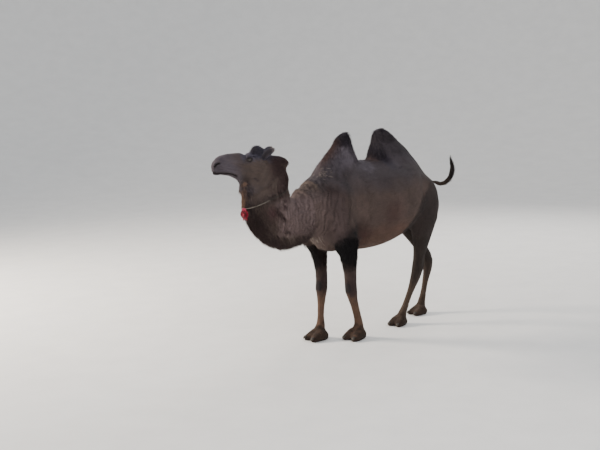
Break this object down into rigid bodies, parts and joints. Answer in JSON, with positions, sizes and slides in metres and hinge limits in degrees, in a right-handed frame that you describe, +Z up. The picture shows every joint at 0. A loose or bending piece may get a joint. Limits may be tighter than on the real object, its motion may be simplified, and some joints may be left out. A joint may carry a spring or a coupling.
{
  "type": "bactrian camel",
  "caption": "Standing two-humped camel in short summer coat, head turned to its right, with a thin neck cord and a red ribbon rosette at the throat.",
  "frame": {"origin": "on the floor, under the middle of the bounding box", "axes": "+Z up; the body's length lies along Y and the camel faces -Y; its left side is +X; the head is turned 35 degrees to its right"},
  "size_m": [0.7856, 2.769, 1.9694],
  "materials": {
    "coat": "short matt grey-brown hair",
    "dark_hair": "longer matt dark brown hair",
    "eye": "wet and glossy, dark brown",
    "nail": "dull dark horn",
    "cord": "pale twisted cord",
    "ribbon": "red satin ribbon"
  },
  "bodies": {
    "root": {"collar_cord": "cord", "collar_rosette": "ribbon", "ear_left": "coat", "ear_right": "coat", "eye_left": "eye", "eye_right": "eye", "foot_fore_left": "coat", "foot_fore_right": "coat", "foot_hind_left": "coat", "foot_hind_right": "coat", "head": "coat", "hump_front": "dark_hair", "hump_rear": "dark_hair", "leg_fore_left": "coat", "leg_fore_right": "coat", "leg_hind_left": "coat", "leg_hind_right": "coat", "nail_fore_left_left": "nail", "nail_fore_left_right": "nail", "nail_fore_right_left": "nail", "nail_fore_right_right": "nail", "nail_hind_left_left": "nail", "nail_hind_left_right": "nail", "nail_hind_right_left": "nail", "nail_hind_right_right": "nail", "neck_lower": "coat", "neck_upper": "coat", "shank_fore_left": "coat", "shank_fore_right": "coat", "shank_hind_left": "coat", "shank_hind_right": "coat", "tail": "dark_hair", "trunk": "coat"}
  },
  "joints": []
}
